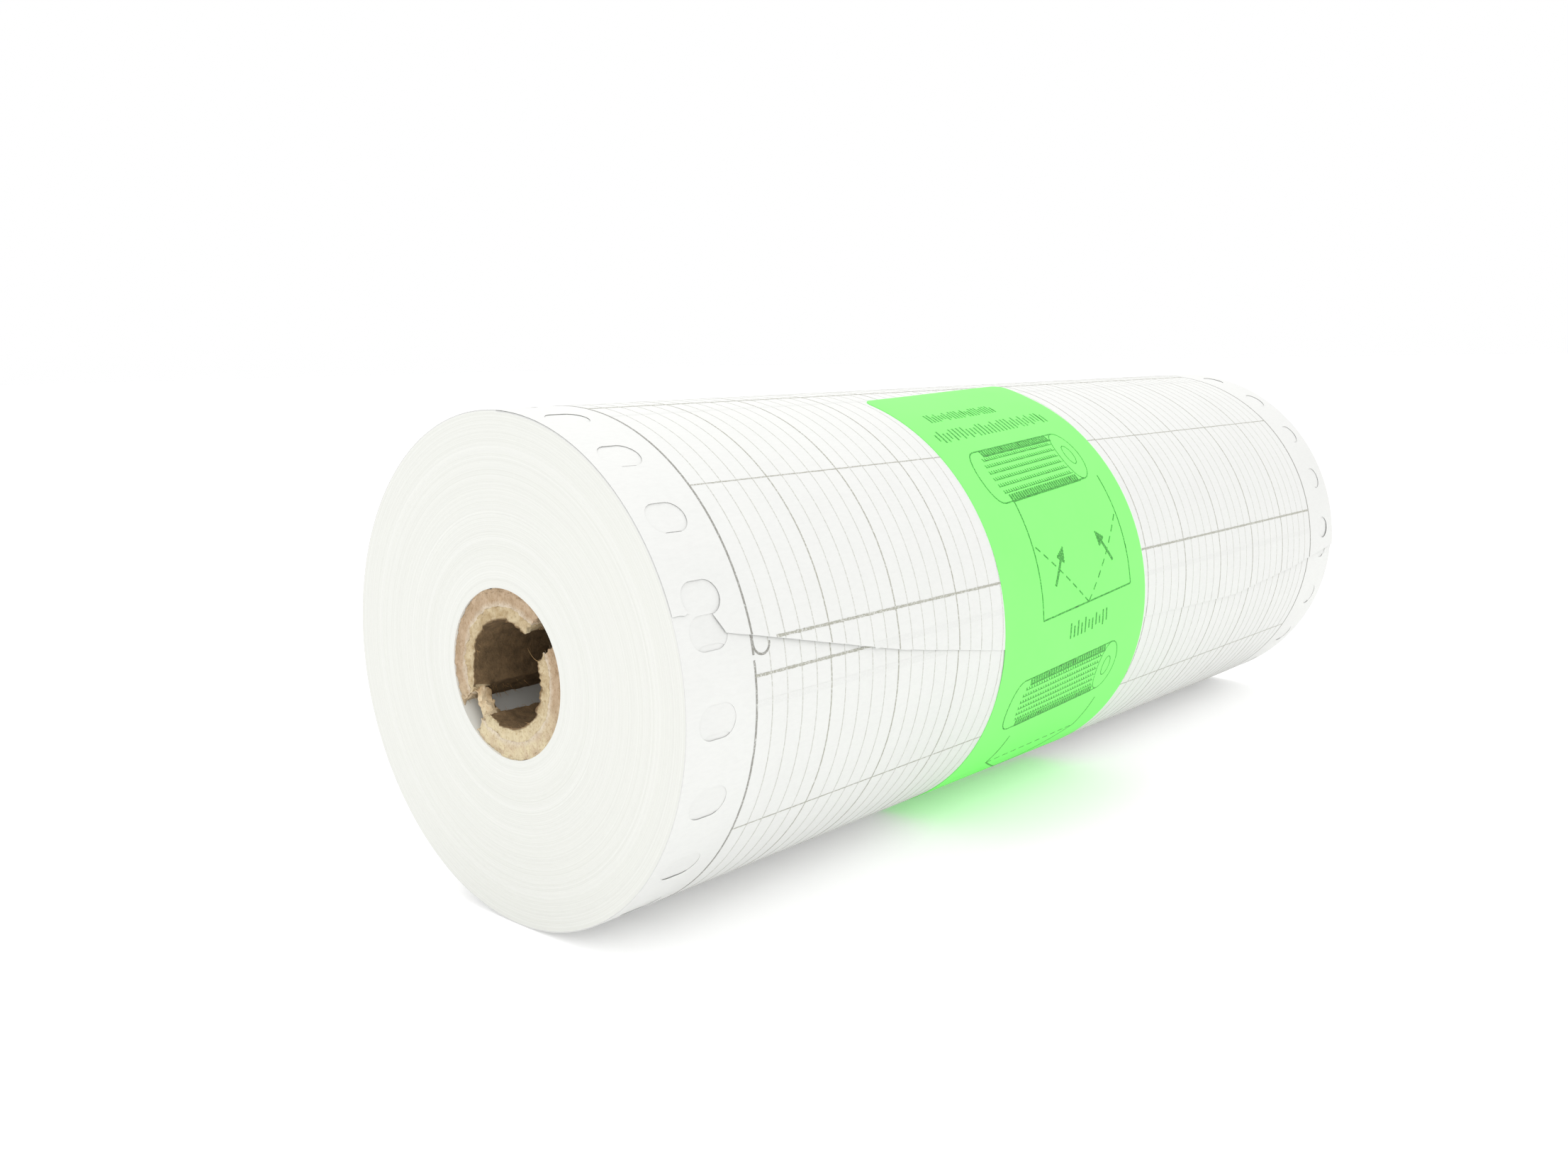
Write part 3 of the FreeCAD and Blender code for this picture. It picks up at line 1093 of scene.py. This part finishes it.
def notch_fibre_root(end):
    """A place on a notch's wall and the way a fibre leaves it, across the notch."""
    side = dice.choice((-1, 1))
    radius = dice.uniform(BORE_RADIUS, CORE_RADIUS) * dice.choice((-1, 1))
    root = notch_direction() * radius + notch_normal() * side * NOTCH_WIDTH / 2
    root.x = end * (CORE_END - dice.triangular(0, NOTCH_DEPTH, 0.3 * MM))
    return root, notch_normal() * -side * dice.uniform(0.4, 1)


def in_notch(point):
    """Is a point in the gap of a notch?"""
    return abs(point.dot(notch_normal())) < NOTCH_WIDTH / 2


def loose_fibres(points, faces):
    """Short board fibres standing out at both ends of the core."""
    for end in (-1, 1):
        roots = [lip_fibre_root(end) for _ in range(230)]
        roots = [r for r in roots if not in_notch(r[0])]
        roots += [notch_fibre_root(end) for _ in range(260)]
        for root, way in roots:
            length = dice.uniform(0.25, 0.95) * MM
            bend = Vector([dice.uniform(-1, 1) for _ in range(3)])
            steps = (0, 0.25, 0.5, 0.75, 1)
            path = [root + way * length * t + bend * length * 0.45 * t * t for t in steps]
            thick = dice.uniform(0.015, 0.045) * MM
            tube(points, faces, path, [thick * (1 - 0.18 * i) for i in range(5)], 3)


def curled_hair(points, faces):
    """One long hair that hangs from the near upper notch across the bore."""
    root = notch_direction() * 6.9 * MM + notch_normal() * NOTCH_WIDTH / 2
    root.x = -CORE_END + 0.1 * MM
    path = []
    for i in range(21):
        t = i / 20
        sag = -0.75 * 4 * t * (1 - t) + 0.75 * t
        path.append(root + Vector((0.6 * t, 3.6 * t, sag)) * MM)
    tube(points, faces, path, [0.045 * MM * (1 - 0.035 * i) for i in range(21)], 4)


def torn_flap(points, faces):
    """A twist of torn liner that bridges the near lower notch at the bore."""
    path, radii = [], []
    for i in range(36):
        t = i / 35
        angle = NOTCH_ANGLE + 180 + 22 - 44 * t
        wander = noise.noise(Vector((t * 5, 0.4, 0)))
        radius = (8.3 - 0.8 * (1 - t) + 0.3 * wander) * MM
        depth = 1.0 + 0.2 * math.sin(math.pi * t)
        path.append(Vector(on_roll(-CORE_END + depth * MM, angle, radius)))
        radii.append((0.62 + 0.45 * t) * MM)
    start = len(points)
    tube(points, faces, path, radii, 22)
    for i in range(start, len(points)):
        p = points[i] / MM
        points[i] = (p + noise.noise_vector(p * 1.6) * 0.34 + noise.noise_vector(p * 4.5) * 0.16) * MM


def make_fibres():
    """All the loose and torn board at the core's ends, as one piece."""
    points, faces = [], []
    loose_fibres(points, faces)
    curled_hair(points, faces)
    torn_flap(points, faces)
    piece = new_piece("core_fibres", points, faces, [FIBRE])
    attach(piece, "roll")


def make_core():
    """The four plies and their loose fibres. The tape keeps its own shape and gets a material."""
    board_radius = -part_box("core_outer_board")[0].z
    make_ply("core_liner_inner", "core_inner_ply", LINER, BORE_RADIUS, 0.40)
    make_ply("core_board_inner", "core_inner_board", LINER, LINER_RADIUS, 0.36)
    make_ply("core_board_outer", "core_outer_board", BOARD, GLUE_RADIUS, 0.22)
    make_ply("core_liner_outer", "core_outer_ply", BOARD, board_radius, 0.20)
    make_fibres()
    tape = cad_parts["starter_tape"]
    tape.data.materials.clear()
    tape.data.materials.append(TAPE)


# ---------------------------------------------------------------- floor, lights and camera


def make_floor():
    """A plain pale floor just under the roll."""
    z = -ROLL_RADIUS - 0.05 * MM
    signs = ((-1, -1), (1, -1), (1, 1), (-1, 1))
    corners = [(sx * FLOOR_SIZE, sy * FLOOR_SIZE, z) for sx, sy in signs]
    material, tree, surface = shader("floor_white", (0.95, 0.95, 0.95), 0.9)
    surface.inputs["Specular IOR Level"].default_value = 0.1
    surface.inputs["Emission Color"].default_value = (1, 1, 1, 1)
    surface.inputs["Emission Strength"].default_value = FLOOR_GLOW
    floor = new_piece("floor", corners, [(0, 1, 2, 3)], [material])


def make_lights():
    """Soft lights that face the roll, in a white room. A light is (name, place, size, power)."""
    world = bpy.data.worlds.new("studio")
    bpy.context.scene.world = world
    world.use_nodes = True
    background = world.node_tree.nodes["Background"]
    background.inputs["Color"].default_value = (1, 1, 1, 1)
    background.inputs["Strength"].default_value = 1.0
    for name, position, size, power in LIGHTS:
        light = bpy.data.lights.new(name, "AREA")
        light.size = size
        light.energy = power
        lamp = bpy.data.objects.new(name, light)
        lamp.location = position
        lamp.rotation_euler = (-Vector(position)).to_track_quat("-Z", "Y").to_euler()
        bpy.context.scene.collection.objects.link(lamp)
    bpy.context.scene.view_settings.view_transform = "Standard"


def make_camera():
    """The camera, by its place, the way it looks, its roll about that and its lens."""
    camera = bpy.data.cameras.new("camera")
    camera.sensor_width = 36
    camera.lens = LENS
    camera.clip_start = 0.005
    eye = bpy.data.objects.new("camera", camera)
    eye.location = EYE
    eye.rotation_mode = "QUATERNION"
    roll = Quaternion((0, 0, 1), CAMERA_ROLL)
    eye.rotation_quaternion = Vector(AHEAD).to_track_quat("-Z", "Y") @ roll
    bpy.context.scene.collection.objects.link(eye)
    bpy.context.scene.camera = eye


make_camera()
make_floor()
make_lights()
make_wound_web()
make_web()
make_label()
make_core()
